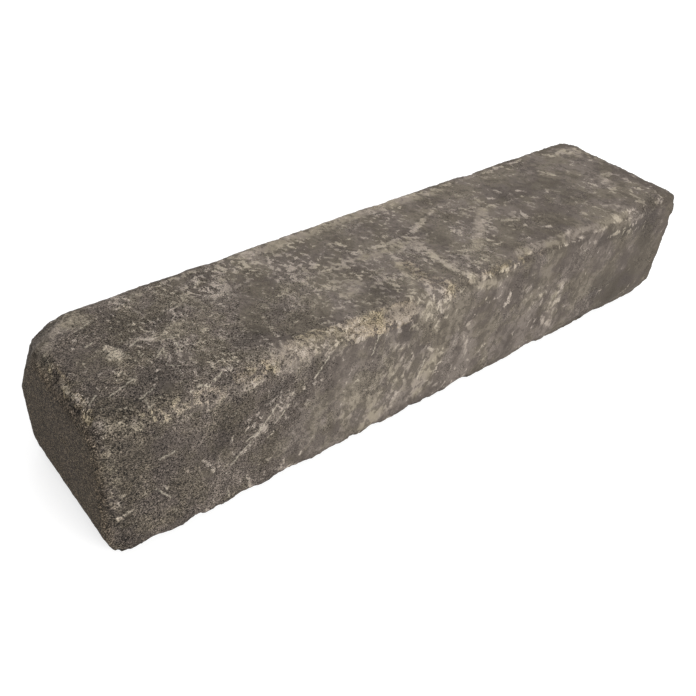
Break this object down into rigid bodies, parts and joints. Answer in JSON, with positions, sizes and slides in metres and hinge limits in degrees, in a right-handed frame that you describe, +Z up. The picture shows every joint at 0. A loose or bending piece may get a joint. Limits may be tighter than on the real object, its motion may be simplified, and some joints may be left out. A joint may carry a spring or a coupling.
{
  "type": "concrete wall block",
  "caption": "Long rectangular concrete walling block with tumbled, rounded arrises and knocked corners, laid flat in courses for garden walls and edgings.",
  "frame": {"origin": "middle of the bed face, on the surface that the block lies on", "axes": "+X along the block from its near end to its far end, +Y from its front face to its back face, +Z up through the top bed"},
  "size_m": [0.6, 0.15, 0.12],
  "materials": {
    "concrete": "matte, tumbled, dark taupe grey with pale sandy scuffs"
  },
  "bodies": {
    "root": {"wall_block": "concrete"}
  },
  "joints": []
}
